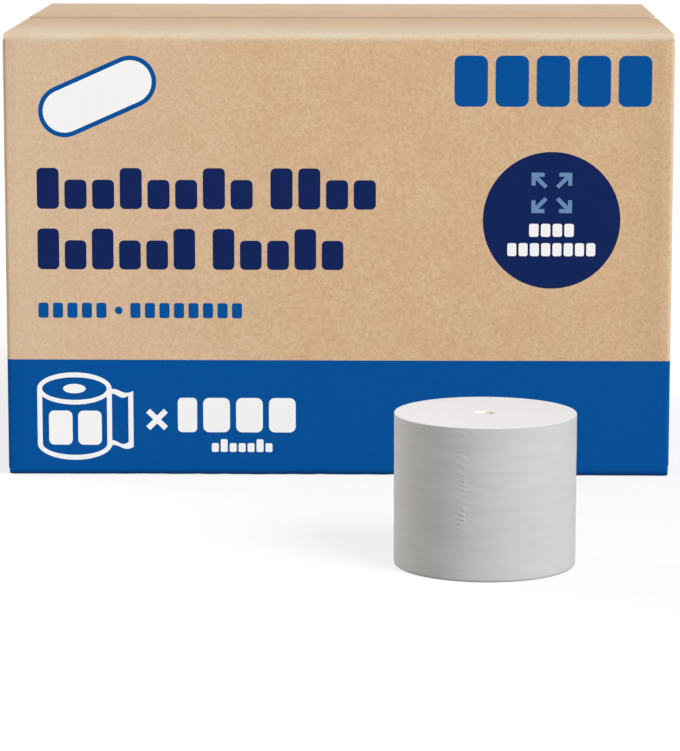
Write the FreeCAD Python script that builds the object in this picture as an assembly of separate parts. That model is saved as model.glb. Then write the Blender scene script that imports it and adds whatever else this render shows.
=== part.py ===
import FreeCAD, Part
import math
import os

# A pack of toilet rolls: a glued corrugated carton of wound tissue rolls,
# with one loose roll of the same kind standing in front of it.
# Lengths are in millimetres and angles in degrees. +Z is up, the printed
# front of the carton faces -Y, and the origin is in the middle of its base.

# The roll, wound on itself without a tube
roll_diameter = 121.0
sheet_width = 101.6
hole_diameter = 13.0
hole_mouth_radius = 1.0
rim_radius = 1.5
soft_corner_flats = 3
tail_step = 0.4
tail_angle = 256.0

# The turns that show on both ends of a roll
turn_pitch = 7.5
turn_valley_width = 1.0
turn_valley_depth = 0.35
turn_margin = 1.5

# How the carton is filled
roll_columns = 4
roll_rows = 3
roll_layers = 3
side_slack = 2.0
head_room = 9.2

# The carton board and its folds
board_thickness = 4.0
liner_thickness = 0.4
corner_fold_radius = 3.0
major_fold_inner_radius = 0.8
minor_fold_inner_radius = 1.0
slot_inset = 1.0
flap_seam_gap = 1.5
flap_seam_offset = 3.0
joint_edge_setback = 1.0
raw_edge_groove_depth = 1.0

# Where the loose roll stands, from the carton's front face and centre plane
loose_roll_gap = 239.5
loose_roll_offset = 103.0

# Sizes that follow from those above
roll_radius = roll_diameter / 2
hole_radius = hole_diameter / 2
carton_length = roll_columns * roll_diameter + side_slack + 2 * board_thickness
carton_depth = roll_rows * roll_diameter + side_slack + 2 * board_thickness
carton_height = roll_layers * sheet_width + head_room + 4 * board_thickness
end_face = carton_length / 2
long_face = carton_depth / 2
major_fold_radius = board_thickness + major_fold_inner_radius
minor_fold_radius = board_thickness + minor_fold_inner_radius
minor_top = carton_height - board_thickness
panel_top = min(carton_height - major_fold_radius, minor_top - minor_fold_radius)
panel_height = 2 * panel_top - carton_height
front_flap_tip = flap_seam_gap / 2 - flap_seam_offset
back_flap_tip = flap_seam_gap / 2 + flap_seam_offset
minor_flap_tip = max(end_face - long_face, flap_seam_gap / 2)

UP = FreeCAD.Vector(0, 0, 1)


def point_at(centre, radius, angle):
    turn = math.radians(angle)
    return centre + FreeCAD.Vector(radius * math.cos(turn), radius * math.sin(turn), 0)


# An arc in plan, from one angle to another the way that the angles run
def plan_arc(centre, radius, start, end):
    ends_and_middle = [point_at(centre, radius, angle) for angle in (start, (start + end) / 2, end)]
    return Part.Arc(*ends_and_middle).toShape()


def straight(start, end):
    return Part.LineSegment(start, end).toShape()


# The points of a soft corner, in the XZ plane, as short flats round a centre
def soft_corner(centre_x, centre_z, radius, start, end):
    points = []
    for step in range(soft_corner_flats + 1):
        turn = math.radians(start + (end - start) * step / soft_corner_flats)
        points.append(FreeCAD.Vector(centre_x + radius * math.cos(turn), 0, centre_z + radius * math.sin(turn)))
    return points


# A section in the XZ plane turned about the Z axis
def revolved(points, sweep):
    section = Part.Face(Part.makePolygon(points + [points[0]]))
    return section.revolve(FreeCAD.Vector(), UP, sweep)


# Half of the roll's body, a half turn about its own axis
def half_layer(centre, radius, start):
    rim_circle = radius - rim_radius
    section = [FreeCAD.Vector()]
    section += soft_corner(rim_circle, rim_radius, rim_radius, -90, 0)
    section += soft_corner(rim_circle, sheet_width - rim_radius, rim_radius, 0, 90)
    section += [UP * sheet_width]
    half = revolved(section, 180)
    half.rotate(FreeCAD.Vector(), UP, start)
    half.translate(centre)
    return half


# A roll's wound body. Its outer layer is two half turns whose axes lie to
# either side of the middle, so the outside is a step larger at its tail.
def wound_body():
    shift = point_at(FreeCAD.Vector(), tail_step / 4, tail_angle)
    outer_radius = roll_radius - tail_step / 4
    under_radius = outer_radius - tail_step / 2
    outer_half = half_layer(shift, outer_radius, tail_angle - 180)
    under_half = half_layer(-shift, under_radius, tail_angle)
    return outer_half.fuse(under_half).removeSplitter()


# The hole through the roll, opened by a rounded lip at both mouths
def hole_cutter():
    lip_circle = hole_radius + hole_mouth_radius
    section = [FreeCAD.Vector()]
    section += soft_corner(lip_circle, hole_mouth_radius, hole_mouth_radius, 270, 180)
    section += soft_corner(lip_circle, sheet_width - hole_mouth_radius, hole_mouth_radius, 180, 90)
    section += [UP * sheet_width]
    return revolved(section, 360)


# The valley between two turns, seen on the end at a height, as half turns of
# a V section. It winds inwards from the rim, half a pitch smaller each time.
# The V's sides carry on past the face, so that it is open there.
def turn_valleys(height, into):
    shift = point_at(FreeCAD.Vector(), turn_pitch / 4, tail_angle)
    outermost = roll_radius - rim_radius - turn_margin - turn_valley_width / 2
    innermost = hole_radius + hole_mouth_radius + turn_margin + turn_valley_width / 2
    valleys = []
    for number in range(int((outermost - innermost) / (turn_pitch / 2))):
        radius = outermost - turn_pitch / 4 - number * turn_pitch / 2
        valley = revolved(
            [
                FreeCAD.Vector(radius, 0, height + into * turn_valley_depth),
                FreeCAD.Vector(radius + turn_valley_width, 0, height - into * turn_valley_depth),
                FreeCAD.Vector(radius - turn_valley_width, 0, height - into * turn_valley_depth),
            ],
            180,
        )
        valley.rotate(FreeCAD.Vector(), UP, tail_angle - 180 * (number + 1))
        valley.translate(shift if number % 2 == 0 else -shift)
        valleys.append(valley)
    return valleys


def make_roll():
    valleys = turn_valleys(0, 1) + turn_valleys(sheet_width, -1)
    return wound_body().cut([hole_cutter()] + valleys)


# The four standing panels in plan. Three corners are folds, and the fourth, at
# the back left, is the glued joint: the end panel laps over the back panel's
# tab, so its raw edge stands beside the fold.
def panel_outline():
    radius = corner_fold_radius
    x_fold = end_face - radius
    y_fold = long_face - radius
    joint_x = -(end_face - board_thickness) + radius
    joint_rise = radius - joint_edge_setback
    joint_angle = math.degrees(math.asin(joint_rise / radius))
    corners = [
        (FreeCAD.Vector(-x_fold, -y_fold, 0), 180, 270),
        (FreeCAD.Vector(x_fold, -y_fold, 0), 270, 360),
        (FreeCAD.Vector(x_fold, y_fold, 0), 0, 90),
        (FreeCAD.Vector(joint_x, y_fold, 0), 90, 180 - joint_angle),
    ]
    edges = []
    reached = None
    for centre, start, end in corners:
        start_point = point_at(centre, radius, start)
        if reached is not None:
            edges.append(straight(reached, start_point))
        edges.append(plan_arc(centre, radius, start, end))
        reached = point_at(centre, radius, end)
    raw_edge_outside = FreeCAD.Vector(-end_face, long_face - joint_edge_setback, 0)
    edges.append(straight(reached, raw_edge_outside))
    edges.append(straight(raw_edge_outside, point_at(corners[0][0], radius, corners[0][1])))
    return Part.Wire(edges)


# A flap's section in the XZ plane: up the panel, over the fold and in to the
# flap's tip. The outside and the inside may each be offset into the board.
def flap_section(face, top, inner_radius, tip, outer_offset, inner_offset):
    fold_radius = board_thickness + inner_radius
    centre = FreeCAD.Vector(face - fold_radius, 0, top - fold_radius)
    outer_radius = fold_radius - outer_offset
    inner_bend = inner_radius + inner_offset
    slant = math.sqrt(0.5)
    outer_foot = FreeCAD.Vector(face - outer_offset, 0, panel_top)
    outer_bend_start = centre + FreeCAD.Vector(outer_radius, 0, 0)
    outer_bend_middle = centre + FreeCAD.Vector(outer_radius * slant, 0, outer_radius * slant)
    outer_bend_end = centre + FreeCAD.Vector(0, 0, outer_radius)
    outer_tip = FreeCAD.Vector(tip, 0, top - outer_offset)
    inner_tip = FreeCAD.Vector(tip, 0, top - board_thickness + inner_offset)
    inner_bend_start = centre + FreeCAD.Vector(0, 0, inner_bend)
    inner_bend_middle = centre + FreeCAD.Vector(inner_bend * slant, 0, inner_bend * slant)
    inner_bend_end = centre + FreeCAD.Vector(inner_bend, 0, 0)
    inner_foot = FreeCAD.Vector(face - board_thickness + inner_offset, 0, panel_top)
    edges = [
        Part.Arc(outer_bend_start, outer_bend_middle, outer_bend_end).toShape(),
        straight(outer_bend_end, outer_tip),
        straight(outer_tip, inner_tip),
        straight(inner_tip, inner_bend_start),
        Part.Arc(inner_bend_start, inner_bend_middle, inner_bend_end).toShape(),
    ]
    if outer_foot.distanceToPoint(outer_bend_start) > 1e-6:
        edges.insert(0, straight(outer_foot, outer_bend_start))
        edges.append(straight(inner_bend_end, inner_foot))
        edges.append(straight(inner_foot, outer_foot))
    else:
        edges.append(straight(inner_bend_end, outer_bend_start))
    return Part.Face(Part.Wire(edges))


# One flap, standing on the +X side. Its two side edges are cut raw, so the
# corrugated middle lies a little below the two liners there.
def make_flap(face, top, inner_radius, tip, low_side, high_side):
    width = high_side - low_side
    along = FreeCAD.Vector(0, 1, 0)
    flap = flap_section(face, top, inner_radius, tip, 0, 0).extrude(along * width)
    middle = flap_section(face, top, inner_radius, tip, liner_thickness, liner_thickness)
    groove = middle.extrude(along * raw_edge_groove_depth)
    far_groove = groove.translated(along * (width - raw_edge_groove_depth))
    flap = flap.cut([groove, far_groove])
    flap.translate(along * low_side)
    return flap


def turned(shape, angle):
    copy = shape.copy()
    copy.rotate(FreeCAD.Vector(), UP, angle)
    return copy


# Four flaps at the top: the end panels' flaps lie below, and the long panels'
# flaps close over them and meet a little behind the middle.
def top_flaps():
    major_side = end_face - slot_inset
    minor_side = long_face - slot_inset
    minor = make_flap(end_face, minor_top, minor_fold_inner_radius, minor_flap_tip, -minor_side, minor_side)
    front = make_flap(
        long_face, carton_height, major_fold_inner_radius, front_flap_tip, -major_side, major_side
    )
    back = make_flap(
        long_face, carton_height, major_fold_inner_radius, back_flap_tip, -major_side, major_side
    )
    return [minor, turned(minor, 180), turned(front, 270), turned(back, 90)]


def make_carton():
    panels = Part.Face(panel_outline()).extrude(UP * panel_height)
    panels.translate(UP * (carton_height - panel_top))
    inner_length = 2 * (end_face - minor_fold_radius)
    inner_depth = 2 * (long_face - major_fold_radius)
    inner_height = 2 * minor_top - carton_height
    filling = Part.makeBox(
        inner_length,
        inner_depth,
        inner_height,
        FreeCAD.Vector(-inner_length / 2, -inner_depth / 2, board_thickness),
    )
    upper = top_flaps()
    middle = FreeCAD.Vector(0, 0, carton_height / 2)
    lower = [flap.mirror(middle, UP) for flap in upper]
    return panels.fuse([filling] + upper + lower).removeSplitter()


def main():
    roll = make_roll()
    roll.translate(FreeCAD.Vector(loose_roll_offset, -(long_face + loose_roll_gap + roll_radius), 0))
    nodes = {"carton": make_carton(), "roll": roll}
    os.makedirs("parts", exist_ok=True)
    for name, shape in nodes.items():
        solid = shape.Solids[0]
        solid.exportStep(f"parts/{name}.step")
        box = solid.BoundBox
        print(
            f"{name}: {len(shape.Solids)} solid, valid {solid.isValid()}, volume {solid.Volume / 1000:.1f} cm3, "
            f"{box.XLength:.1f} x {box.YLength:.1f} x {box.ZLength:.1f} mm"
        )


main()
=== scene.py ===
import math
import bpy
import numpy as np
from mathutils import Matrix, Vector, geometry, noise


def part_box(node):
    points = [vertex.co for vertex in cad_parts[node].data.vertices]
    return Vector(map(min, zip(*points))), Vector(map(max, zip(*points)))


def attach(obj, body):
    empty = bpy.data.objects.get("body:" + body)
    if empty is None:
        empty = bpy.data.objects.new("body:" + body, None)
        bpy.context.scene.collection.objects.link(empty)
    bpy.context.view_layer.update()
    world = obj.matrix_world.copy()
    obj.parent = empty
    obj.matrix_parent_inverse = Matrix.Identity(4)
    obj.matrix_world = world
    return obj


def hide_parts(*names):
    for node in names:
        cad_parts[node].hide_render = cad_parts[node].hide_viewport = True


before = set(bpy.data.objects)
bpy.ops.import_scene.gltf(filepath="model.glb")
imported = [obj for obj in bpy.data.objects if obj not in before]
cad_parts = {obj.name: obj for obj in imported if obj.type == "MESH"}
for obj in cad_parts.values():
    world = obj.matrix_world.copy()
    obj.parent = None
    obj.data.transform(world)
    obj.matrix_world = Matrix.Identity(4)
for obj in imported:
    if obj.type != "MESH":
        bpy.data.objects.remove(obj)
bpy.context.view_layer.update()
print("stage: frame loaded")

mm = 0.001


# Small helpers

def linearColour(hexText):  # "c8a27a" in sRGB to Blender's linear colour
    channels = [int(hexText[i:i + 2], 16) / 255 for i in (0, 2, 4)]
    return [c / 12.92 if c <= 0.04045 else ((c + 0.055) / 1.055) ** 2.4 for c in channels] + [1.0]


def wobble(x, y, z):  # smooth noise between -1 and 1
    return noise.noise(Vector((x, y, z)))


def addNode(tree, kind, inputs=(), **settings):  # one node, its settings, then its values and links
    node = tree.nodes.new(kind)
    for name, value in settings.items():
        setattr(node, name, value)
    for key, value in dict(inputs).items():
        socket = node.inputs[key]
        if isinstance(value, bpy.types.NodeSocket):
            tree.links.new(value, socket)
        else:
            socket.default_value = value
    return node


def newMaterial(name):
    material = bpy.data.materials.new(name)
    material.use_nodes = True
    material.node_tree.nodes.clear()
    return material, material.node_tree


def finishMaterial(tree, surface):
    addNode(tree, "ShaderNodeOutputMaterial", {"Surface": surface.outputs[0]})


def meshObject(name, points, faces, materials, faceMaterials=None, marks=()):
    mesh = bpy.data.meshes.new(name)
    mesh.from_pydata([tuple(p) for p in points], [], [tuple(int(i) for i in f) for f in faces])
    for material in materials:
        mesh.materials.append(material)
    if faceMaterials is not None:
        mesh.polygons.foreach_set("material_index", np.asarray(faceMaterials, np.int32))
    mesh.polygons.foreach_set("use_smooth", np.ones(len(mesh.polygons), bool))
    mesh.set_sharp_from_angle(angle=math.radians(48))  # raw edges stay crisp, folds stay round
    for mark, values in dict(marks).items():
        mesh.attributes.new(mark, "FLOAT", "POINT").data.foreach_set("value", np.asarray(values, np.float32))
    mesh.update()
    piece = bpy.data.objects.new(name, mesh)
    bpy.context.scene.collection.objects.link(piece)
    return piece


# Corrugated board: brown recycled liner, calendered smooth, printed by flexo

boardLook = {
    "liner": "deba94",
    "mottling": {  # laid on in this order; "fade" is where in its noise each pattern comes in
        "cloud": {  # slow change of shade across the sheet
            "colour": "e7caa6", "cover": 0.45, "sizeMm": 38.0, "fade": (0.35, 0.65),
            "detail": 3.0, "rough": 0.72, "warp": 0.0,
        },
        "fibre": {  # matted fibres, coarser than the real 0.5 mm so that they show
            "colour": "c9a279", "cover": 0.68, "sizeMm": 2.7, "fade": (0.36, 0.68),
            "detail": 3.0, "rough": 0.62, "warp": 0.6,
        },
        "fleck": {  # dark specks of recycled pulp
            "colour": "a07f59", "cover": 0.4, "sizeMm": 1.6, "fade": (0.68, 0.8),
            "detail": 1.0, "rough": 0.4, "warp": 0.0,
        },
    },
    "paintedLightAndShade": {  # each mark of painted light and shade on the sheet: its colour and how strongly it covers
        "pale": ("e6d2c0", 0.3),  # painted light: the front is paler towards its left
        "paintedSheen": ("bbab9d", 0.5),  # painted sheen: the flaps' faces are a shade greyer, as a grazing reflection makes them
        "paintedShade": ("a2866a", 0.3),  # painted shade: the front flap darkens towards the seam, and the front towards its right edge
        "crease": ("d3cdb9", 0.85),  # painted highlight: the liner is lighter where it is bent
    },
    "rawEdge": "b8915f",
    # painted shade for the hollows between the flutes on the cut edge
    "paintedFluteShade": "8a673f",
    "blueInk": "00539d",
    "navyInk": "10255c",
    "paleInk": "6b90bd",
    "whiteInk": "fdfcfb",
    "roughness": 0.78,  # matt paper
    "inkRoughness": 0.65,  # a little smoother where it is inked
    "gloss": 0.15,
    "inkGloss": 0.05,
    "inkCover": (0.997, 1.0),  # the film is thinnest over the darkest fibres
    "ior": 1.47,
    "toothMm": 0.06,  # depth of the paper's tooth
    "fluteMm": 7.8,  # C flute, which shows faintly through the liner
    "fluteDeepMm": 0.08,
    "gritMm": 1.2,  # torn fibres on the cut edge
    "gritDeepMm": 0.2,
    "cutRoughness": 0.95,
}
waveUnit = 0.31416  # 2 pi / 20, the scale at which a wave texture repeats once in each unit


def boardCoordinates(tree, sizeMm):  # object coordinates counted in a real length
    place = addNode(tree, "ShaderNodeTexCoord")
    return addNode(tree, "ShaderNodeMapping", {
        "Vector": place.outputs["Object"],
        "Scale": (1 / (sizeMm * mm),) * 3,
    }).outputs["Vector"]


def linerShade(tree):  # brown liner colour with its mottling, and its painted light and shade
    shade = linearColour(boardLook["liner"])
    grains = {}
    for name, pattern in boardLook["mottling"].items():
        grains[name] = addNode(tree, "ShaderNodeTexNoise", {
            "Vector": boardCoordinates(tree, pattern["sizeMm"]), "Scale": 1.0, "Detail": pattern["detail"],
            "Roughness": pattern["rough"], "Distortion": pattern["warp"],
        }).outputs["Fac"]
        cover = addNode(tree, "ShaderNodeMapRange", {
            "Value": grains[name], "From Min": pattern["fade"][0], "From Max": pattern["fade"][1],
            "To Max": pattern["cover"],
        })
        shade = addNode(tree, "ShaderNodeMix", {
            "Factor": cover.outputs["Result"], 6: shade, 7: linearColour(pattern["colour"]),
        }, data_type="RGBA").outputs[2]
    for mark, (colour, share) in boardLook["paintedLightAndShade"].items():
        where = addNode(tree, "ShaderNodeAttribute", attribute_name=mark)
        paintedShare = addNode(tree, "ShaderNodeMath", {0: where.outputs["Fac"], 1: share}, operation="MULTIPLY")
        shade = addNode(tree, "ShaderNodeMix", {
            "Factor": paintedShare.outputs[0], 6: shade, 7: linearColour(colour),
        }, data_type="RGBA").outputs[2]
    return shade, grains["fibre"]


def boardBump(tree, fibre):  # flutes faintly showing through, and the paper's tooth
    flutes = addNode(tree, "ShaderNodeTexWave", {
        "Vector": boardCoordinates(tree, boardLook["fluteMm"]), "Scale": waveUnit, "Distortion": 0.3,
        "Detail": 1.0, "Detail Scale": 0.4,
    }, wave_type="BANDS", bands_direction="X", wave_profile="SIN")
    washboard = addNode(tree, "ShaderNodeBump", {
        "Height": flutes.outputs["Fac"], "Strength": 0.35, "Distance": boardLook["fluteDeepMm"] * mm,
    })
    return addNode(tree, "ShaderNodeBump", {
        "Height": fibre, "Strength": 0.35, "Distance": boardLook["toothMm"] * mm,
        "Normal": washboard.outputs["Normal"],
    }).outputs["Normal"]


def printedBoard(name, inkHex=None):  # bare liner, or liner under a film of flexo ink
    material, tree = newMaterial(name)
    shade, fibre = linerShade(tree)
    roughness, gloss = boardLook["roughness"], boardLook["gloss"]
    if inkHex:
        thinnest, full = boardLook["inkCover"]
        film = addNode(tree, "ShaderNodeMapRange", {
            "Value": fibre, "From Min": 0.3, "From Max": 0.8, "To Min": thinnest, "To Max": full,
        })
        shade = addNode(tree, "ShaderNodeMix", {
            "Factor": film.outputs["Result"], 6: shade, 7: linearColour(inkHex),
        }, data_type="RGBA").outputs[2]
        roughness, gloss = boardLook["inkRoughness"], boardLook["inkGloss"]
    paper = addNode(tree, "ShaderNodeBsdfPrincipled", {
        "Base Color": shade, "Roughness": roughness, "IOR": boardLook["ior"], "Specular IOR Level": gloss,
        "Normal": boardBump(tree, fibre),
    })
    finishMaterial(tree, paper)
    return material


def cutEdge():  # the raw cut through liner and flutes: rough, dull and darker, with painted shade for the hollows between the flutes
    material, tree = newMaterial("cutCorrugatedEdge")
    grit = addNode(tree, "ShaderNodeTexNoise", {
        "Vector": boardCoordinates(tree, boardLook["gritMm"]), "Scale": 1.0, "Detail": 3.0,
    })
    mix = addNode(tree, "ShaderNodeMix", {
        "Factor": grit.outputs["Fac"], 6: linearColour(boardLook["rawEdge"]),
        7: linearColour(boardLook["paintedFluteShade"]),
    }, data_type="RGBA")
    bump = addNode(tree, "ShaderNodeBump", {
        "Height": grit.outputs["Fac"], "Strength": 0.6, "Distance": boardLook["gritDeepMm"] * mm,
    })
    paper = addNode(tree, "ShaderNodeBsdfPrincipled", {
        "Base Color": mix.outputs[2], "Roughness": boardLook["cutRoughness"], "IOR": boardLook["ior"],
        "Specular IOR Level": 0.2, "Normal": bump.outputs["Normal"],
    })
    finishMaterial(tree, paper)
    return material


boardMaterials = {
    "liner": printedBoard("brownCalenderedLiner"),
    "blue": printedBoard("blueFlexoInkOnLiner", boardLook["blueInk"]),
    "navy": printedBoard("navyFlexoInkOnLiner", boardLook["navyInk"]),
    "pale": printedBoard("paleBlueFlexoInkOnLiner", boardLook["paleInk"]),
    "white": printedBoard("whiteFlexoInkOnLiner", boardLook["whiteInk"]),
    "cut": cutEdge(),
}
boardOrder = list(boardMaterials)
print("stage: board materials made")


# The carton's blank, in millimetres: a flat printed sheet that is folded up

cartonLow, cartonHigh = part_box("carton")
carton = {
    "length": (cartonHigh.x - cartonLow.x) / mm,
    "depth": (cartonHigh.y - cartonLow.y) / mm,
    "height": (cartonHigh.z - cartonLow.z) / mm,
    "board": 4.0,
    "liner": 0.4,
    "cornerFold": 3.0,
    "longFold": 4.8,  # outer radius where the long panels fold into their flaps
    "endFold": 5.0,
    "slot": 0.5,  # each flap's set-back from its panel's corner
    "seamGap": 0.8,
    "seamOffset": 3.0,
    "jointSetback": 1.0,
    "tabWidth": 35.0,
    "rawEdgeGroove": 1.0,
    "grid": 7.0,  # spacing of the mesh on a panel
    "looseGrid": 11.2,  # on the ends and the long flaps
    "hiddenGrid": 26.0,  # on the flaps underneath
    "printClearance": 1.0,  # no grid point lies closer to a printed outline
    "bulge": 1.1,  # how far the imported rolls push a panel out
    "panelUneven": 0.3,
    "cornerUneven": 0.12,
    "foldCrush": 0.8,  # how unevenly the top folds are rolled
    "crushWide": 7.0,
    "backCrush": 0.4,  # the back fold's share of it
    "flapUneven": 0.3,
    "tabSunk": 0.3,
    "seamStep": 0.12,  # how far the front flap lies below the flat at the seam
    "backLift": 0.25,  # the back flap's share of it, upwards
    "bandTop": 87.6,  # height of the printed band
    "bandBleed": 5.0,  # how far it runs on past the bottom fold
    "cornerHighlight": 0.4,
    "highlightOnset": 3.2,  # the width over which a top fold's painted highlight sets in
    "scuffFade": 145.0,  # and over which it fades across its flap
    "backHighlight": 0.3,  # the back flap's share of it
    "frontPaintedSheenRamp": 60.0,  # how far past its fold a flap takes the full painted sheen
    "paintedSheenRamp": 12.0,
    "paintedGlareFrom": 0.5,  # share of the front's width, from its left, that takes the painted light
    "paintedShadeFade": 38.0,  # how quickly the painted shade falls off from the seam
    "paintedShadeEdgeFrom": 0.93,  # share of the front's width where painted shade darkens its right edge
    "paintedShadeEdge": 0.6,
}

halfLength = carton["length"] / 2
halfDepth = carton["depth"] / 2
midHeight = carton["height"] / 2
cornerArc = carton["cornerFold"] * math.pi / 2
bandTopLine = carton["bandTop"] - midHeight  # counted, like every v, from the blank's middle line


# Each stretch of the blank round the carton: its kind, start point in plan, its
# direction and its length. Folds turn left by a right angle.
def walkStretches():
    fold = carton["cornerFold"]
    board = carton["board"]
    longFlat = carton["length"] - 2 * fold
    endFlat = carton["depth"] - 2 * fold
    corner = ("fold", None, None, cornerArc)
    jointY = halfDepth - carton["jointSetback"]
    return [
        ("end", (-halfLength, jointY), (0, -1), jointY + halfDepth - fold),
        corner,
        ("long", (-halfLength + fold, -halfDepth), (1, 0), longFlat),
        corner,
        ("end", (halfLength, -halfDepth + fold), (0, 1), endFlat),
        corner,
        ("long", (halfLength - fold, halfDepth), (-1, 0), longFlat - board),
        corner,
        ("tab", (-halfLength + board, halfDepth - fold), (0, -1), carton["tabWidth"]),
    ]


stretches = walkStretches()
stretchStarts = np.concatenate([[0.0], np.cumsum([s[3] for s in stretches])])


def foldRadius(kind):
    return carton["longFold"] if kind == "long" else carton["endFold"]


def foldArc(kind):  # how much of the sheet a fold takes up
    return foldRadius(kind) * math.pi / 2


def foldStart(kind):  # height over the blank's middle line where a panel's fold begins
    drop = 0 if kind == "long" else carton["board"]
    return midHeight - drop - foldRadius(kind)


slotFloor = foldStart("long")  # the slots are cut down to the long flaps' fold line
flapPanels = (0, 2, 4, 6)  # left end, front, right end and back
frontPanel, backPanel = 2, 6


def flapReach(index):  # how far over the middle line a panel's flap runs on the blank
    kind = stretches[index][0]
    if kind == "long":  # the long flaps stop at the seam, and the end flaps are cut nearly as long
        offset = carton["seamOffset"] if index == backPanel else -carton["seamOffset"]
        face, tip = halfDepth, carton["seamGap"] / 2 + offset
    else:
        face, tip = halfLength, halfLength - halfDepth
    return foldStart(kind) + foldArc(kind) + face - foldRadius(kind) - tip


def flapSpan(index):  # where a panel's flap starts and ends along the blank
    fold, slot = carton["cornerFold"], carton["slot"]
    start = stretchStarts[index] + slot - fold
    end = stretchStarts[index + 1] + fold - slot
    if index == 0:
        start = stretchStarts[0] + slot - carton["jointSetback"]
    if index == backPanel:
        end += carton["board"]
    return start, end


def waviness(u, v, index):  # how far the outer face stands out of true, in millimetres
    kind = stretches[index][0]
    if kind == "tab":
        return -carton["tabSunk"]
    if kind == "fold":
        return carton["cornerUneven"] * wobble(u * 0.05, v * 0.03, 3.0)
    low = v < 0
    along = (u - stretchStarts[index]) / stretches[index][3]
    across = v / foldStart(kind)
    inner = max(0.0, 1 - across * across) * max(0.0, 1 - (2 * along - 1) ** 2)
    uneven = carton["panelUneven"] * wobble(u * 0.012, v * 0.012, 7.0)
    wave = carton["bulge"] * inner + uneven * min(1.0, 2.5 * inner)
    past = abs(v) - foldStart(kind)
    arc = foldArc(kind)
    edge = min(1.0, 4 * along, 4 * (1 - along))
    ridge = math.exp(-((past - arc / 2) / carton["crushWide"]) ** 2)
    rolled = wobble(u * 0.035, 11.0, 5.0 + index) + 0.5 * wobble(u * 0.11, 2.0, index)
    share = carton["backCrush"] if index == backPanel else 1.0
    crush = carton["foldCrush"] * ridge * (rolled - 0.35) * share
    if past > arc and not low and kind == "long":  # the top flaps are a little uneven and step at the seam
        reached = (past - arc) / (flapReach(index) - foldStart(kind) - arc)
        uneven = carton["flapUneven"] * wobble(u * 0.014, past * 0.02, 9.0 + index)
        wave += uneven * edge * (1 - 0.8 * reached)
        wave -= carton["seamStep"] * reached ** 2 * (1 if index == frontPanel else -carton["backLift"])
    if low:
        crush = min(0.0, crush)
        wave = wave if past < 0 else 0.0
    return wave + crush * edge


def stretchAt(u, v):  # which stretch of the blank a point belongs to; a flap belongs to its panel
    if abs(v) > slotFloor + 1e-3:
        spans = {i: flapSpan(i) for i in flapPanels}
        return min(flapPanels, key=lambda i: abs(u - sum(spans[i]) / 2) - (spans[i][1] - spans[i][0]) / 2)
    return int(np.clip(np.searchsorted(stretchStarts, u, side="right") - 1, 0, len(stretches) - 1))


def foldUp(u, v, depth):  # a point of the blank, at a depth below its outer face, on the folded carton
    index = stretchAt(u, v)
    kind = stretches[index][0]
    along = u - stretchStarts[index]
    depth = depth - waviness(u, v, index)
    if kind == "fold":
        before = stretches[index - 1]
        radius = carton["cornerFold"]
        end = Vector(before[1]) + Vector(before[2]) * before[3]
        ahead = Vector(before[2])
        left = Vector((-ahead.y, ahead.x))
        turn = along / radius
        outward = -left * math.cos(turn) + ahead * math.sin(turn)
        plan = end + left * radius + outward * max(0.3, radius - depth)
        return Vector((plan.x, plan.y, midHeight + v))
    start, ahead, _ = stretches[index][1:]
    outward = Vector((ahead[1], -ahead[0]))
    plan = Vector(start) + Vector(ahead) * along
    radius = foldRadius(kind)
    past = abs(v) - foldStart(kind)
    if kind == "tab" or past <= 0:
        inward, height = depth, abs(v)
    elif past < foldArc(kind):
        turn = past / radius
        inward = radius - (radius - depth) * math.cos(turn)
        height = foldStart(kind) + (radius - depth) * math.sin(turn)
    else:
        inward = radius + past - foldArc(kind)
        height = foldStart(kind) + radius - depth
    plan = plan - outward * inward
    return Vector((plan.x, plan.y, midHeight + math.copysign(height, v)))


# The print on the front, in millimetres from the front's middle and its base: plain shapes in flat ink

printPlan = {
    "capsule": {"x": -177.5, "z": 283.8, "wide": 92.0, "high": 38.6, "tilt": 24.0, "line": 3.4},
    "cornerBlocks": {
        "x": 158.0, "z": 295.5, "wide": 145.0, "high": 37.6, "blocks": (1, 1, 1, 1, 1), "gap": 5.6,
    },
    "upperRow": {
        "x": -223.0, "z": 200.5, "block": 16.4, "gap": 4.1, "low": 21.8, "tall": 30.5,
        "rhythm": "tlltlltl ttll",
    },
    "lowerRow": {
        "x": -223.0, "z": 155.4, "block": 16.1, "gap": 4.1, "low": 21.8, "tall": 30.5,
        "rhythm": "tltllt tlltl",
    },
    "smallRow": {
        "x": -223.0, "z": 119.0, "block": 7.6, "gap": 3.2, "tall": 11.4, "dot": 2.9,
        "halves": ("t" * 5, "t" * 8),
    },
    "seal": {"x": 157.7, "z": 192.7, "radius": 50.8},
    "arrows": {"x": 157.7, "z": 213.2, "reach": 15.0, "head": 9.6, "stroke": 3.0, "start": 4.2},
    "sealRows": {
        "z": (185.4, 171.0), "wide": (33.0, 65.0), "high": 9.7, "blocks": ((1,) * 4, (1,) * 8), "gap": 1.7,
    },
    "rollSign": {
        "x": -196.9, "foot": 23.8, "top": 65.6, "half": 27.9, "squash": 0.44, "line": 3.7, "hole": (8.5, 3.6),
        "sheetWide": 16.0, "sheetFoot": 21.4, "sheetTop": 64.0, "wave": 1.5,
    },
    "signBlocks": {"x": -196.5, "z": 35.95, "wide": 39.5, "high": 25.9, "blocks": (1, 1), "gap": 4.2},
    "times": {"x": -135.3, "z": 42.4, "long": 18.72, "stroke": 4.2, "corner": 0.2},
    "bandBlocks": {"x": -75.7, "z": 45.9, "wide": 88.0, "high": 26.1, "blocks": (0.72, 1, 1, 1), "gap": 4.6},
    "bandRow": {
        "x": -94.5, "z": 17.9, "block": 5.2, "gap": 1.5, "low": 6.7, "tall": 9.7, "rhythm": "ltllltl",
    },
    "corner": 0.22,  # a block's rounding, as a share of its smaller side
    "wideGap": 0.55,  # a wide gap, as a share of a block
}


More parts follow.
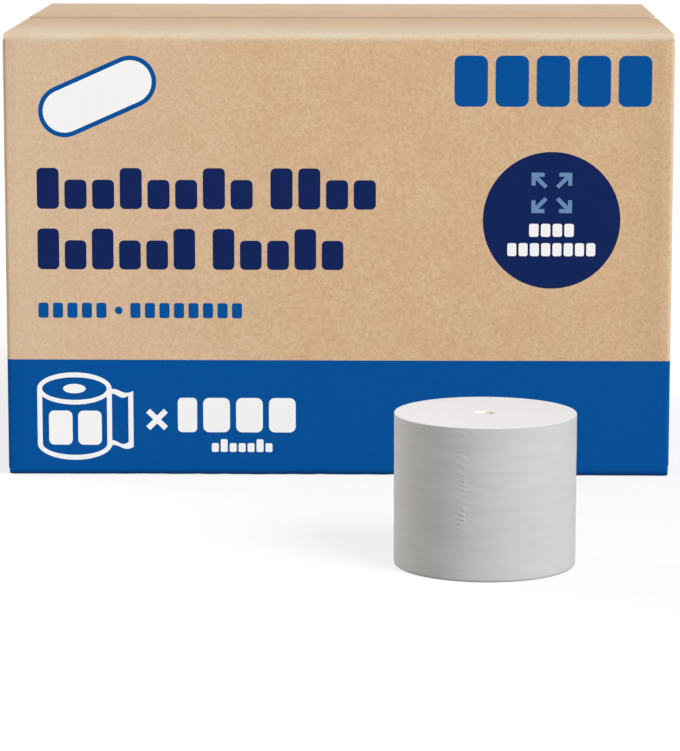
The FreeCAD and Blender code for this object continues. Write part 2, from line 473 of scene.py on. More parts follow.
def roundedBar(x, z, wide, high, corner=None, tilt=0.0, steps=4):  # a bar by its centre and size
    if corner is None:
        corner = printPlan["corner"] * min(wide, high)
    points = []
    for cx, cz, first in ((1, 1, 0), (-1, 1, 90), (-1, -1, 180), (1, -1, 270)):
        for step in range(steps + 1):
            turn = math.radians(first + 90 * step / steps)
            points.append((cx * (wide / 2 - corner) + corner * math.cos(turn),
                           cz * (high / 2 - corner) + corner * math.sin(turn)))
    c, s = math.cos(math.radians(tilt)), math.sin(math.radians(tilt))
    return [(x + px * c - pz * s, z + px * s + pz * c) for px, pz in points]


def oval(x, z, halfWide, halfHigh, steps=64):
    turns = [2 * math.pi * i / steps for i in range(steps)]
    return [(x + halfWide * math.cos(t), z + halfHigh * math.sin(t)) for t in turns]


def blocksInRhythm(shapes, ink, plan, rhythm):  # from the left: t is tall, l is low, a space is a wide gap
    x = plan["x"]
    for mark in rhythm:
        if mark == " ":
            x += plan["block"] * printPlan["wideGap"]
            continue
        high = plan["tall"] if mark == "t" else plan["low"]
        shapes.append((ink, roundedBar(x + plan["block"] / 2, plan["z"] + high / 2, plan["block"], high)))
        x += plan["block"] + plan["gap"]
    return x


def blockRow(shapes, ink, plan):  # blocks that fill a width by their shares of it
    unit = (plan["wide"] - plan["gap"] * (len(plan["blocks"]) - 1)) / sum(plan["blocks"])
    left = plan["x"] - plan["wide"] / 2
    for share in plan["blocks"]:
        shapes.append((ink, roundedBar(left + share * unit / 2, plan["z"], share * unit, plan["high"])))
        left += share * unit + plan["gap"]


def diagonalArrow(plan, sideX, sideZ):  # one of four arrows that point out to the corners
    start, reach, head = plan["start"], plan["reach"], plan["reach"] - plan["head"]
    inner, slant = reach - plan["stroke"], plan["stroke"] / math.sqrt(2)
    outline = [
        (start - slant / 2, start + slant / 2), (inner - slant, inner), (head, inner), (head, reach),
        (reach, reach), (reach, head), (inner, head), (inner, inner - slant),
        (start + slant / 2, start - slant / 2),
    ]
    return [(plan["x"] + sideX * px, plan["z"] + sideZ * pz) for px, pz in outline]


def rollSignShapes(shapes, ink, ground):  # a line drawing of a roll with a loose sheet
    plan = printPlan["rollSign"]
    x, half, line, squash = plan["x"], plan["half"], plan["line"], plan["squash"]

    def barrel(grow):  # the roll's outline, from the low front curve up to the top's back curve
        wide, rise = half + grow, half * squash + grow
        front, back = np.linspace(math.pi, 2 * math.pi, 25), np.linspace(0, math.pi, 25)
        low = [(x + wide * math.cos(t), plan["foot"] + rise * math.sin(t)) for t in front]
        top = [(x + wide * math.cos(t), plan["top"] + rise * math.sin(t)) for t in back]
        return low + top

    def loose(grow):  # the sheet that hangs out to the right, with wavy ends
        left, right = x + half - line, x + half + plan["sheetWide"] + grow
        run = np.linspace(0, 1, 13)
        sway = [plan["wave"] * math.sin(2 * math.pi * t) for t in run]
        low = [(left + (right - left) * t, plan["sheetFoot"] - grow + s) for t, s in zip(run, sway)]
        top = [(left + (right - left) * t, plan["sheetTop"] + grow + s) for t, s in zip(run, sway)]
        return low + top[::-1]

    shapes.append((ink, loose(0)))
    shapes.append((ground, loose(-line)))
    shapes.append((ink, barrel(0)))
    shapes.append((ground, barrel(-line)))
    rise = half * squash
    shapes.append((ink, oval(x, plan["top"], half - 0.2, rise - 0.2)))
    shapes.append((ground, oval(x, plan["top"], half - line, rise - line)))
    shapes.append((ink, oval(x, plan["top"], *plan["hole"], steps=32)))


def frontPrint():  # every shape in the order it is printed; a later one lies over an earlier one
    shapes = []
    capsule = printPlan["capsule"]
    for ink, shrink in (("blue", 0), ("white", capsule["line"])):
        wide, high = capsule["wide"] - 2 * shrink, capsule["high"] - 2 * shrink
        outline = roundedBar(capsule["x"], capsule["z"], wide, high, high / 2, capsule["tilt"], steps=12)
        shapes.append((ink, outline))
    blockRow(shapes, "blue", printPlan["cornerBlocks"])
    for row in ("upperRow", "lowerRow"):
        blocksInRhythm(shapes, "navy", printPlan[row], printPlan[row]["rhythm"])
    small = dict(printPlan["smallRow"])
    reached = blocksInRhythm(shapes, "blue", small, small["halves"][0])
    dot = small["dot"]
    shapes.append(("blue", oval(reached + 2 * dot, small["z"] + small["tall"] / 2, dot, dot, 24)))
    small["x"] = reached + 5 * dot
    blocksInRhythm(shapes, "blue", small, small["halves"][1])
    seal = printPlan["seal"]
    shapes.append(("navy", oval(seal["x"], seal["z"], seal["radius"], seal["radius"], 128)))
    for sideX in (-1, 1):
        for sideZ in (-1, 1):
            shapes.append(("pale", diagonalArrow(printPlan["arrows"], sideX, sideZ)))
    rows = printPlan["sealRows"]
    for z, wide, blocks in zip(rows["z"], rows["wide"], rows["blocks"]):
        blockRow(shapes, "white", {**rows, "x": seal["x"], "z": z, "wide": wide, "blocks": blocks})
    rollSignShapes(shapes, "white", "blue")
    blockRow(shapes, "white", printPlan["signBlocks"])
    times = printPlan["times"]
    for tilt in (45, -45):
        bar = roundedBar(times["x"], times["z"], times["long"], times["stroke"], times["corner"], tilt)
        shapes.append(("white", bar))
    blockRow(shapes, "white", printPlan["bandBlocks"])
    blocksInRhythm(shapes, "white", printPlan["bandRow"], printPlan["bandRow"]["rhythm"])
    return shapes


def insideShape(points, outline):  # which of many points lie inside a closed outline
    x, z = points[:, 0], points[:, 1]
    within = np.zeros(len(points), bool)
    for (ax, az), (bx, bz) in zip(outline, outline[1:] + outline[:1]):
        if az == bz:
            continue
        crosses = (az > z) != (bz > z)
        within ^= crosses & (x < (bx - ax) * (z - az) / (bz - az) + ax)
    return within


def distanceToLines(points, starts, ends):  # each point's distance to the nearest of many short lines
    nearest = np.full(len(points), 1e9)
    for a, b in zip(starts, ends):
        along = b - a
        t = np.clip(((points - a) @ along) / max(along @ along, 1e-12), 0, 1)
        nearest = np.minimum(nearest, np.hypot(*(points - a - t[:, None] * along).T))
    return nearest


def evenSteps(low, high, step):
    return np.linspace(low, high, max(2, int(round((high - low) / step)) + 1))


def heightLines(kind, reach):  # the mesh's rows on one panel and its flaps
    start, end = foldStart(kind), foldStart(kind) + foldArc(kind)
    bandEnd = end + carton["bandBleed"]
    rows = [
        np.array([bandTopLine]), evenSteps(-slotFloor, bandTopLine, carton["grid"]),
        evenSteps(bandTopLine, slotFloor, carton["grid"]),
    ]
    if reach > slotFloor:
        spacing = carton["looseGrid"] if kind == "long" else carton["hiddenGrid"]
        beyond = np.concatenate([
            [start - 1.5], np.linspace(start, end, 8), [bandEnd], evenSteps(bandEnd, reach, spacing),
        ])
        rows += [beyond, -beyond, np.array([slotFloor, -slotFloor])]
    return np.unique(np.round(np.concatenate(rows), 4))


def columnLines(index):  # the mesh's columns on one stretch of the blank
    low, high = stretchStarts[index], stretchStarts[index + 1]
    kind = stretches[index][0]
    if kind == "fold":
        return np.linspace(low, high, 6)
    columns = [evenSteps(low, high, carton["grid"] if kind == "long" else carton["looseGrid"])]
    if index in flapPanels:
        columns.append(np.array(flapSpan(index)))
    return np.unique(np.round(np.concatenate(columns), 4))


def blankPoints():  # the grid of the flat sheet
    points = []
    for index, stretch in enumerate(stretches):
        low, high, reach = (*flapSpan(index), flapReach(index)) if index in flapPanels else (0.0, 0.0, 0.0)
        for u in columnLines(index):
            top = reach if low - 1e-3 <= u <= high + 1e-3 else slotFloor
            points += [(u, v) for v in heightLines(stretch[0], reach) if abs(v) <= max(top, slotFloor) + 1e-3]
    return np.unique(np.round(np.array(points), 4), axis=0)


def onBlank(u, v):  # whether a point lies on the cut sheet
    if not stretchStarts[0] <= u <= stretchStarts[-1]:
        return False
    if abs(v) <= slotFloor:
        return True
    return any(flapSpan(i)[0] < u < flapSpan(i)[1] and abs(v) < flapReach(i) for i in flapPanels)


def sheetOutline():  # the blank's cut outline, corner by corner
    corners = [(stretchStarts[0], -slotFloor), (stretchStarts[0], slotFloor)]
    for i in flapPanels:
        (low, high), reach = flapSpan(i), flapReach(i)
        corners += [(low, slotFloor), (low, reach), (high, reach), (high, slotFloor)]
    corners += [(stretchStarts[-1], slotFloor), (stretchStarts[-1], -slotFloor)]
    for i in reversed(flapPanels):
        (low, high), reach = flapSpan(i), flapReach(i)
        corners += [(high, -slotFloor), (high, -reach), (low, -reach), (low, -slotFloor)]
    return corners


def printOnBlank():  # the print, moved from the front's own millimetres to the blank's
    start, fold = stretchStarts[frontPanel], carton["cornerFold"]
    return [
        (ink, [(start + x + halfLength - fold, z - midHeight) for x, z in outline])
        for ink, outline in frontPrint()
    ]


def meshBlank(prints):  # one flat mesh of the cut sheet, with every printed outline among its edges
    starts = np.array([p for _, outline in prints for p in outline])
    ends = np.array([p for _, outline in prints for p in outline[1:] + outline[:1]])
    grid = blankPoints()
    low, high = starts.min(0) - 2, starts.max(0) + 2
    near = ((grid > low) & (grid < high)).all(1)
    keep = np.ones(len(grid), bool)
    keep[near] = distanceToLines(grid[near], starts, ends) > carton["printClearance"]
    onBand = np.abs(grid[:, 1] - bandTopLine) < 1e-3
    points = [Vector(p) for p in grid[keep | onBand]]
    edges = []
    for outline in [shape for _, shape in prints] + [sheetOutline()]:
        first, count = len(points), len(outline)
        points += [Vector(p) for p in outline]
        edges += [(first + i, first + (i + 1) % count) for i in range(count)]
    places, _, triangles, _, _, _ = geometry.delaunay_2d_cdt(points, edges, [], 0, 1e-3)
    flat = np.array([(p.x, p.y) for p in places])
    corners = np.array(triangles)
    centres = flat[corners].mean(1)
    inside = np.array([onBlank(u, v) for u, v in centres])
    corners, centres = corners[inside], centres[inside]
    turn = np.cross(flat[corners[:, 1]] - flat[corners[:, 0]], flat[corners[:, 2]] - flat[corners[:, 0]])
    corners[turn < 0] = corners[turn < 0][:, ::-1]
    return flat, corners, centres


def inkFaces(prints, centres):  # each face's material: bare liner, the band, or the last shape printed there
    inks = np.zeros(len(centres), int)
    for index, (kind, _, _, _) in enumerate(stretches):
        bandFoot = foldStart(kind) + foldArc(kind) + carton["bandBleed"]
        here = (centres[:, 0] >= stretchStarts[index]) & (centres[:, 0] < stretchStarts[index + 1])
        inks[here & (centres[:, 1] < bandTopLine) & (centres[:, 1] > -bandFoot)] = boardOrder.index("blue")
    for ink, outline in prints:
        inks[insideShape(centres, outline)] = boardOrder.index(ink)
    return inks


def frontShare(u):  # how far along the front a place is, from 0 at its left to 1
    return (u - stretchStarts[frontPanel]) / stretches[frontPanel][3]


def paintedHighlightAt(u, v):  # how much painted highlight a place on the blank gets at a fold, from 0 to 1
    index = stretchAt(u, v)
    kind = stretches[index][0]
    if kind == "fold":
        across = math.sin(math.pi * (u - stretchStarts[index]) / cornerArc)
        return across * (carton["cornerHighlight"] + 0.4 * wobble(index, v * 0.03, 2.0))
    if index not in flapPanels or v < 0:
        return 0.0
    past = v - foldStart(kind)
    wander = 1.5 * wobble(u * 0.016, 1.0, index) + 0.9 * wobble(u * 0.06, 7.0, index)
    uneven = 0.7 + 0.38 * wobble(u * 0.03, 4.0, index) * math.exp(-max(0.0, past) / 15.0)
    uneven += 0.12 * wobble(u * 0.008, v * 0.04, 12.0)
    paintedShare = min(1.0, max(0.0, (past + 1.0 + wander) / carton["highlightOnset"]))
    fade = 0.5 + 0.5 * math.cos(math.pi * min(1.0, max(0.0, past) / carton["scuffFade"]))
    return uneven * paintedShare * fade * (carton["backHighlight"] if index == backPanel else 1.0)


def paintedSheenAt(u, v):  # how much painted sheen a place gets: only the faces of the closed flaps
    index = stretchAt(u, v)
    kind = stretches[index][0]
    if index not in flapPanels or v < 0:
        return 0.0
    past = v - foldStart(kind) - foldRadius(kind)
    ramp = carton["frontPaintedSheenRamp"] if index == frontPanel else carton["paintedSheenRamp"]
    return min(1.0, max(0.0, past / ramp)) * (0.85 + 0.3 * wobble(u * 0.02, v * 0.02, 6.0))


def paintedGlareAt(u, v):  # how much painted light a place gets: the front pales towards its left
    if stretchAt(u, v) != frontPanel or v >= foldStart("long"):
        return 0.0
    return max(0.0, 1 - frontShare(u) / carton["paintedGlareFrom"]) ** 1.3


def paintedShadeAt(u, v):  # how much painted shade a place gets: the front flap towards the seam, and the front's right edge
    if stretchAt(u, v) != frontPanel:
        return 0.0
    patch = 1.0 + 0.3 * wobble(u * 0.02, v * 0.03, 16.0)
    if v > foldStart("long"):
        return patch * math.exp(-(flapReach(frontPanel) - v) / carton["paintedShadeFade"])
    start = carton["paintedShadeEdgeFrom"]
    return patch * (carton["paintedShadeEdge"] * max(0.0, (frontShare(u) - start) / (1 - start)))


def boardFromSheet(flat, corners, inks):  # gives the folded sheet its thickness and its cut edges
    used, corners = np.unique(corners, return_inverse=True)
    corners = corners.reshape(-1, 3)
    flat = flat[used]
    # painted light and shade, laid on as marks: a highlight at the bends, sheen on the flaps, shade at the
    # seam and right edge, light to the left
    markers = {"crease": paintedHighlightAt, "paintedSheen": paintedSheenAt, "paintedShade": paintedShadeAt, "pale": paintedGlareAt}
    marks = {mark: [marker(u, v) for u, v in flat] for mark, marker in markers.items()}
    directed = dict.fromkeys(edge for a, b, c in corners for edge in ((a, b), (b, c), (c, a)))
    rim = [edge for edge in directed if (edge[1], edge[0]) not in directed]
    inward = np.zeros_like(flat)
    for a, b in rim:
        run = flat[b] - flat[a]
        side = np.array((-run[1], run[0])) / max(np.hypot(*run), 1e-9)
        inward[a] += side
        inward[b] += side
    board, liner, groove = carton["board"], carton["liner"], carton["rawEdgeGroove"]
    points = [foldUp(u, v, 0.0) for u, v in flat]
    count = len(points)
    points += [foldUp(u, v, board) for u, v in flat]
    faces = [tuple(t) for t in corners] + [tuple(t[::-1] + count) for t in corners]
    looks = list(inks) + [boardOrder.index("liner")] * len(corners)
    steps = [(0.0, liner), (groove, liner), (groove, board - liner), (0.0, board - liner)]
    rimPoints = {}
    for a in sorted({i for edge in rim for i in edge}):
        side = inward[a]
        length = np.hypot(*side)
        side = side / length * min(1.5, 2 / length) if length > 1e-6 else side
        rimPoints[a] = [a]
        for inset, depth in steps:
            u, v = flat[a] + side * inset
            rimPoints[a].append(len(points))
            points.append(foldUp(min(max(u, 0.0), stretchStarts[-1] - 1e-6), v, depth))
        rimPoints[a].append(a + count)
    for a, b in rim:
        here, there = rimPoints[a], rimPoints[b]
        for step in range(len(steps) + 1):
            faces.append((here[step], here[step + 1], there[step + 1], there[step]))
            looks.append(boardOrder.index("cut"))
    for values in marks.values():
        values += [0.0] * (len(points) - len(values))
    return points, faces, looks, marks


def makeCarton():
    prints = printOnBlank()
    flat, corners, centres = meshBlank(prints)
    return boardFromSheet(flat, corners, inkFaces(prints, centres))


points, faces, looks, marks = makeCarton()
cartonPiece = meshObject(
    "corrugatedCarton", [p * mm for p in points], faces, list(boardMaterials.values()), looks, marks,
)
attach(cartonPiece, "root")
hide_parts("carton")
print("stage: carton folded,", len(faces), "faces")


# Tissue: two plies of creped, bleached pulp, soft, matt and slightly open

tissueLook = {
    # the side is a darker tone than the ends: partly the cut ends being whiter, partly painted shade on the
    # side
    "sideWhite": "c8c7c6",
    "sideShade": "bcbab8",
    "endWhite": "e1dfe0",
    "endShade": "cfcdcd",
    "holeWhite": "efece6",
    "holeShade": "e4e0d8",
    "roughness": 0.92,
    "ior": 1.45,
    "sheen": 0.15,
    "creaseMm": (34.0, 34.0, 5.0),  # streaks that run round the roll
    "creaseDeepMm": 0.35,
    "crepeMm": (1.1, 1.1, 7.0),  # ridges along the axis, coarser than the real 0.3 mm so that they show
    "crepeDeepMm": 0.12,
    "layerMm": 0.9,  # the turns on the ends, coarser than the real 0.2 mm so that they show
    "sawMarkMm": 3.846,  # slight unevenness that the saw leaves
    "endDeepMm": 0.12,
}


def endPattern(tree, middle):  # the turns of the spiral and the saw's marks, as a shade and a normal
    x, y, _ = addNode(tree, "ShaderNodeSeparateXYZ", {"Vector": middle}).outputs
    squareX = addNode(tree, "ShaderNodeMath", {0: x, 1: 2.0}, operation="POWER")
    squareY = addNode(tree, "ShaderNodeMath", {0: y, 1: 2.0}, operation="POWER")
    added = addNode(tree, "ShaderNodeMath", {0: squareX.outputs[0], 1: squareY.outputs[0]}, operation="ADD")
    radius = addNode(tree, "ShaderNodeMath", {0: added.outputs[0], 1: 0.5}, operation="POWER")
    angle = addNode(tree, "ShaderNodeMath", {0: y, 1: x}, operation="ARCTAN2")
    rings = addNode(tree, "ShaderNodeMath", {
        0: radius.outputs[0], 1: 1 / (tissueLook["layerMm"] * mm),
    }, operation="MULTIPLY")
    wound = addNode(tree, "ShaderNodeMath", {
        0: angle.outputs[0], 1: 1 / (2 * math.pi), 2: rings.outputs[0],
    }, operation="MULTIPLY_ADD")
    turns = addNode(tree, "ShaderNodeCombineXYZ", {"X": wound.outputs[0]})
    layers = addNode(tree, "ShaderNodeTexNoise", {
        "Vector": turns.outputs[0], "Scale": 1.6, "Detail": 3.0, "Roughness": 0.7,
    })
    sawn = addNode(tree, "ShaderNodeTexNoise", {
        "Vector": middle, "Scale": 1 / (tissueLook["sawMarkMm"] * mm), "Detail": 4.0, "Roughness": 0.7,
    })
    height = addNode(tree, "ShaderNodeMath", {0: layers.outputs[0], 1: sawn.outputs[0]}, operation="ADD")
    bump = addNode(tree, "ShaderNodeBump", {
        "Height": height.outputs[0], "Strength": 0.5, "Distance": tissueLook["endDeepMm"] * mm,
    })
    return layers.outputs["Fac"], bump.outputs["Normal"]


def sidePattern(tree, middle):  # streaks round the roll and crepe ridges along it, as a shade and a normal
    normal, shade = None, None
    for name, detail, rough, strength in (("crease", 5.0, 0.65, 0.4), ("crepe", 3.0, 0.6, 0.35)):
        place = addNode(tree, "ShaderNodeMapping", {
            "Vector": middle, "Scale": tuple(1 / (size * mm) for size in tissueLook[name + "Mm"]),
        })
        grain = addNode(tree, "ShaderNodeTexNoise", {
            "Vector": place.outputs["Vector"], "Scale": 1.0, "Detail": detail, "Roughness": rough,
        })
        inputs = {
            "Height": grain.outputs["Fac"], "Strength": strength,
            "Distance": tissueLook[name + "DeepMm"] * mm,
        }
        if normal:
            inputs["Normal"] = normal
        normal = addNode(tree, "ShaderNodeBump", inputs).outputs["Normal"]
        shade = shade or grain.outputs["Fac"]
    return shade, normal


def tissueMaterial(name, surface):
    material, tree = newMaterial(name)
    place = addNode(tree, "ShaderNodeTexCoord")
    cx, cy = roll["centre"]
    middle = addNode(tree, "ShaderNodeMapping", {
        "Vector": place.outputs["Object"], "Location": (-cx, -cy, 0),
    })
    pattern = endPattern if surface == "end" else sidePattern
    shade, normal = pattern(tree, middle.outputs["Vector"])
    level = addNode(tree, "ShaderNodeMapRange", {
        "Value": shade, "From Min": 0.3, "From Max": 0.7, "To Max": 0.5,
    })
    colour = addNode(tree, "ShaderNodeMix", {
        "Factor": level.outputs["Result"], 6: linearColour(tissueLook[surface + "White"]),
        7: linearColour(tissueLook[surface + "Shade"]),
    }, data_type="RGBA")
    paper = addNode(tree, "ShaderNodeBsdfPrincipled", {
        "Base Color": colour.outputs[2], "Roughness": tissueLook["roughness"], "IOR": tissueLook["ior"],
        "Specular IOR Level": 0.2, "Sheen Weight": tissueLook["sheen"], "Sheen Roughness": 0.6,
        "Normal": normal,
    })
    finishMaterial(tree, paper)
    return material


rollLow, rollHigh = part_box("roll")
roll = {
    "centre": ((rollLow.x + rollHigh.x) / 2, (rollLow.y + rollHigh.y) / 2),
    "radius": 60.5,
    "high": (rollHigh.z - rollLow.z) / mm,
    "hole": 6.5,
    "lip": 1.0,
    "rim": 0.45,
    "foot": 1.6,
    "inset": 0.25,  # keeps the slack sheet inside the solid's size
    "slack": (0.22, 0.07),  # how loose the outer sheet lies, in its slow and its quick waves
    "tailStep": 0.012,
    "tailAngle": 256.0,
    "puckerSpacing": 4.0,  # the sheet is puckered where its tail is held down
    "puckerDeep": 0.62,
    "puckerReach": 5.5,  # to the left of the tail's edge
    "puckerSpill": 2.0,  # to its right
    "puckerSlant": 0.3,
    "puckerFrom": 0.22,  # share of the height where the puckers begin
    "puckerTop": 0.35,  # share of the height over which they fade at the top
    "swellReach": 22.0,  # the sheet swells softly further round
    "pressedDeep": 0.04,  # faint lines pressed in below the puckers
    "pressedLines": (0.6, 2.4),
    "turnPitch": 7.5,  # the valley between the turns, which spirals over the ends
    "turnDeep": 0.16,
    "nearTail": 26.0,  # degrees either side of the tail with closer columns
    "columnsNearTail": 150,
    "columnsElsewhere": 260,
    "rows": 116,
    "ringsBelow": 30,
    "ringsAbove": 66,
    "rimSteps": 5,
    "lipSteps": 4,
}


def rollAngles():  # degrees clockwise from the tail's edge, closer together near it
    near = roll["nearTail"]
    half = roll["columnsNearTail"] // 2
    after = np.linspace(0, near, half, endpoint=False)
    middle = np.linspace(near, 360 - near, roll["columnsElsewhere"], endpoint=False)
    before = np.linspace(360 - near, 360, half, endpoint=False)
    return np.concatenate([after, middle, before])


def puckers(arc, z):  # height of the gathers at the tail, arc in mm to the left of its edge
    up = z / roll["high"]
    strength = min(1.0, max(0.0, (up - roll["puckerFrom"]) / 0.2))
    strength *= 0.35 + 0.65 * min(1.0, (1 - up) / roll["puckerTop"])
    spill = 0.35 * math.exp(-(arc / roll["puckerSpill"]) ** 2)
    fade = math.exp(-(arc / roll["puckerReach"]) ** 2) if arc >= 0 else spill
    wander = wobble(0.0, z * 0.05, 4.0) + 0.12 * wobble(arc * 0.2, z * 0.2, 14.0)
    phase = (z - roll["puckerSlant"] * arc) / roll["puckerSpacing"] + 1.9 * wander
    patch = max(0.35, 0.55 + 1.2 * wobble(arc * 0.15, z * 0.1, 8.0))
    ridge = max(0.0, math.sin(2 * math.pi * phase)) ** 1.5
    swell = 0.3 * math.exp(-(arc / roll["swellReach"]) ** 2) * wobble(arc * 0.03, phase * 0.5, 2.0)
    pressed = sum(math.exp(-((arc - line) / 0.3) ** 2) for line in roll["pressedLines"])
    pressed *= max(0.0, 1 - abs(up - 0.2) / 0.2)
    return roll["puckerDeep"] * strength * (fade * ridge * patch + swell) - roll["pressedDeep"] * pressed


def sideRadius(angle, z):  # angle in degrees clockwise from the tail
    inRadius = roll["radius"] - roll["tailStep"] * angle / 360
    arc = math.radians(angle if angle < 180 else angle - 360) * roll["radius"]
    out = math.radians(roll["tailAngle"] - angle)
    x, y = math.cos(out) * 1.7, math.sin(out) * 1.7
    slow, quick = roll["slack"]
    slack = slow * wobble(x, y, z * 0.05) + quick * wobble(x * 1.6 + 5, y * 1.6, z * 0.28)
    edge = math.sin(math.pi * min(1.0, max(0.0, z / roll["high"]))) ** 0.3
    return inRadius + (slack + puckers(arc, z)) * edge - roll["inset"]


def rollSection():  # the section as kinds with a height, radius or turn, from the lower end out and round
    rim, high, steps, lips = roll["rim"], roll["high"], roll["rimSteps"], roll["lipSteps"]
    inside, outside = roll["hole"] + roll["lip"], roll["radius"] - rim
    quarter = math.pi / 2
    section = [("low", r) for r in np.linspace(inside, outside, roll["ringsBelow"])[:-1]]
    section += [("lowRim", t) for t in np.linspace(0, quarter, steps)]
    section += [("side", z) for z in np.linspace(roll["foot"], high - rim, roll["rows"])[1:-1]]
    section += [("topRim", t) for t in np.linspace(0, quarter, steps)]
    section += [("top", r) for r in np.linspace(outside, inside, roll["ringsAbove"])[1:]]
    section += [("topLip", t) for t in np.linspace(0, quarter, lips)[1:]]
    section += [("lowLip", t) for t in np.linspace(0, quarter, lips)[:-1]]
    return section


def rollPoint(kind, value, angle):  # a section point's radius and height, at an angle round the roll
    rim, foot, high, lip = roll["rim"], roll["foot"], roll["high"], roll["lip"]
    mouth = roll["hole"] + lip
    if kind in ("low", "top"):
        share = (value - mouth) / (roll["radius"] - rim - mouth)
        edge = sideRadius(angle, foot) - foot if kind == "low" else sideRadius(angle, high - rim) - rim
        radius = mouth + share * (edge - mouth)
        turns = radius / roll["turnPitch"] + angle / 360
        dip = roll["turnDeep"] * (0.5 + 0.5 * math.cos(2 * math.pi * turns))
        dip *= min(1.0, 6 * share, 6 * (1 - share))
        return radius, dip if kind == "low" else high - dip
    if kind == "lowRim":
        edge = sideRadius(angle, foot)
        return edge - foot + foot * math.sin(value), foot - foot * math.cos(value)
    if kind == "topRim":
        edge = sideRadius(angle, high - rim)
        return edge - rim + rim * math.cos(value), high - rim + rim * math.sin(value)
    if kind == "side":
        return sideRadius(angle, value), value
    if kind == "topLip":
        return mouth - lip * math.sin(value), high - lip + lip * math.cos(value)
    return mouth - lip * math.cos(value), lip - lip * math.sin(value)


rollMaterials = {
    "side": tissueMaterial("crepedTissueSide", "side"),
    "end": tissueMaterial("sawnTissueEnd", "end"),
    "hole": tissueMaterial("crepedTissueHoleWall", "hole"),
}
rollLooks = {
    "low": "end", "lowRim": "side", "side": "side", "topRim": "end", "top": "end",
    "topLip": "hole", "lowLip": "hole",
}


def makeRoll():
    section = rollSection()
    angles = rollAngles()
    wide, tall = len(angles), len(section)
    cx, cy = roll["centre"]
    points = []
    for angle in angles:
        out = math.radians(roll["tailAngle"] - angle)
        for kind, value in section:
            radius, z = rollPoint(kind, value, angle)
            x, y = radius * mm * math.cos(out), radius * mm * math.sin(out)
            points.append((cx + x, cy + y, rollLow.z + z * mm))
    faces, looks = [], []
    order = list(rollMaterials)
    for i in range(wide):
        j = (i + 1) % wide  # the last column lies under the tail, and closes on its edge
        for s in range(tall):
            t = (s + 1) % tall
            faces.append((i * tall + s, i * tall + t, j * tall + t, j * tall + s))
            looks.append(order.index(rollLooks[section[s][0]]))
    return points, faces, looks


points, faces, looks = makeRoll()
rollPiece = meshObject("tissueRoll", points, faces, list(rollMaterials.values()), looks)
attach(rollPiece, "root")
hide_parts("roll")
print("stage: roll wound,", len(faces), "faces")


# Studio: a floor that the camera sees as white, soft light from the upper right, and the camera

studio = {
    "floorHalf": 30.0,
    "floorColour": "aaaaaa",
    "floorSeen": "939393",  # the camera sees a darker floor, lifted to white by the glow: soft shadows
    "floorGlow": 0.7,
    "worldStrength": 0.38,
    "worldColour": "fff8f1",  # a warm fill, so that the roll's shade is a warm grey
    "lamps": {  # degrees to the right of the camera's axis, above level, and spanned by the softbox
        "keySoftbox": {"aside": 48.0, "up": 35.0, "soft": 40.0, "strength": 3.08, "colour": "f9fcff"},
        "rimSoftbox": {"aside": -120.0, "up": 20.0, "soft": 30.0, "strength": 1.8, "colour": "ffffff"},
    },
    "cameraPlace": (0.0495, -2.7865, 0.5075),
    "cameraPitch": 9.42,  # degrees below level
    "cameraYaw": 1.06,  # degrees towards the left
    "lens": 169.6,
    "sensor": 36.0,
}


def softLight(name, plan):  # a far softbox, as even over the floor as over the object
    lamp = bpy.data.lights.new(name, "SUN")
    lamp.energy = plan["strength"]
    lamp.color = linearColour(plan["colour"])[:3]
    lamp.angle = math.radians(plan["soft"])
    light = bpy.data.objects.new(name, lamp)
    aside, up = math.radians(plan["aside"]), math.radians(plan["up"])
    towards = Vector((math.sin(aside) * math.cos(up), -math.cos(aside) * math.cos(up), math.sin(up)))
    light.location = 4 * towards
    light.rotation_mode = "QUATERNION"
    light.rotation_quaternion = towards.to_track_quat("Z", "Y")
    bpy.context.scene.collection.objects.link(light)


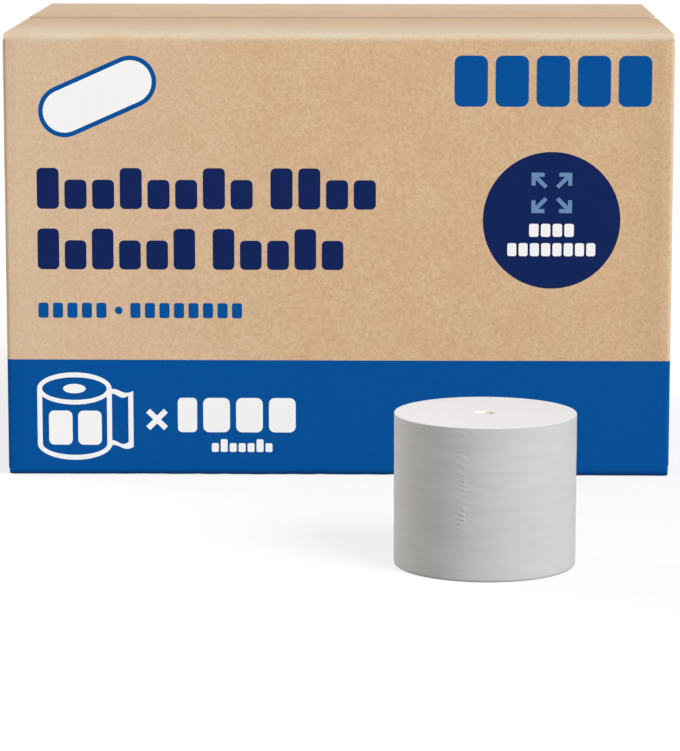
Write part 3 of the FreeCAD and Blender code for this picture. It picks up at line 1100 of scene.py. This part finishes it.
def makeFloor():
    material, tree = newMaterial("paperSweep")
    seen = addNode(tree, "ShaderNodeLightPath").outputs["Is Camera Ray"]
    shade = addNode(tree, "ShaderNodeMix", {
        "Factor": seen, 6: linearColour(studio["floorColour"]), 7: linearColour(studio["floorSeen"]),
    }, data_type="RGBA")
    matt = addNode(tree, "ShaderNodeBsdfDiffuse", {"Color": shade.outputs[2]})
    glow = addNode(tree, "ShaderNodeMath", {0: seen, 1: studio["floorGlow"]}, operation="MULTIPLY")
    lift = addNode(tree, "ShaderNodeEmission", {"Color": (1, 1, 1, 1), "Strength": glow.outputs[0]})
    both = addNode(tree, "ShaderNodeAddShader", {0: matt.outputs[0], 1: lift.outputs[0]})
    finishMaterial(tree, both)
    half = studio["floorHalf"]
    corners = [(-half, -half, 0), (half, -half, 0), (half, half, 0), (-half, half, 0)]
    meshObject("studioFloor", corners, [(0, 1, 2, 3)], [material])


def makeWorld():  # a plain fill light, which the camera sees as white
    world = bpy.data.worlds.new("studioWorld")
    world.use_nodes = True
    tree = world.node_tree
    tree.nodes.clear()
    path = addNode(tree, "ShaderNodeLightPath")
    soft = addNode(tree, "ShaderNodeBackground", {
        "Color": linearColour(studio["worldColour"]), "Strength": studio["worldStrength"],
    })
    white = addNode(tree, "ShaderNodeBackground", {"Color": (1, 1, 1, 1), "Strength": 1.0})
    mix = addNode(tree, "ShaderNodeMixShader", {
        0: path.outputs["Is Camera Ray"], 1: soft.outputs[0], 2: white.outputs[0],
    })
    addNode(tree, "ShaderNodeOutputWorld", {"Surface": mix.outputs[0]})
    bpy.context.scene.world = world


def makeCamera():
    lens = bpy.data.cameras.new("photoCamera")
    lens.lens = studio["lens"]
    lens.sensor_width = studio["sensor"]
    lens.clip_end = 100
    camera = bpy.data.objects.new("photoCamera", lens)
    pitch, yaw = math.radians(studio["cameraPitch"]), math.radians(studio["cameraYaw"])
    ahead = Vector((-math.sin(yaw) * math.cos(pitch), math.cos(yaw) * math.cos(pitch), -math.sin(pitch)))
    camera.location = studio["cameraPlace"]
    camera.rotation_mode = "QUATERNION"
    camera.rotation_quaternion = ahead.to_track_quat("-Z", "Y")
    bpy.context.scene.collection.objects.link(camera)
    bpy.context.scene.camera = camera


makeFloor()
makeWorld()
for name, plan in studio["lamps"].items():
    softLight(name, plan)
makeCamera()
bpy.context.scene.view_settings.view_transform = "Standard"
print("stage: studio and camera ready")
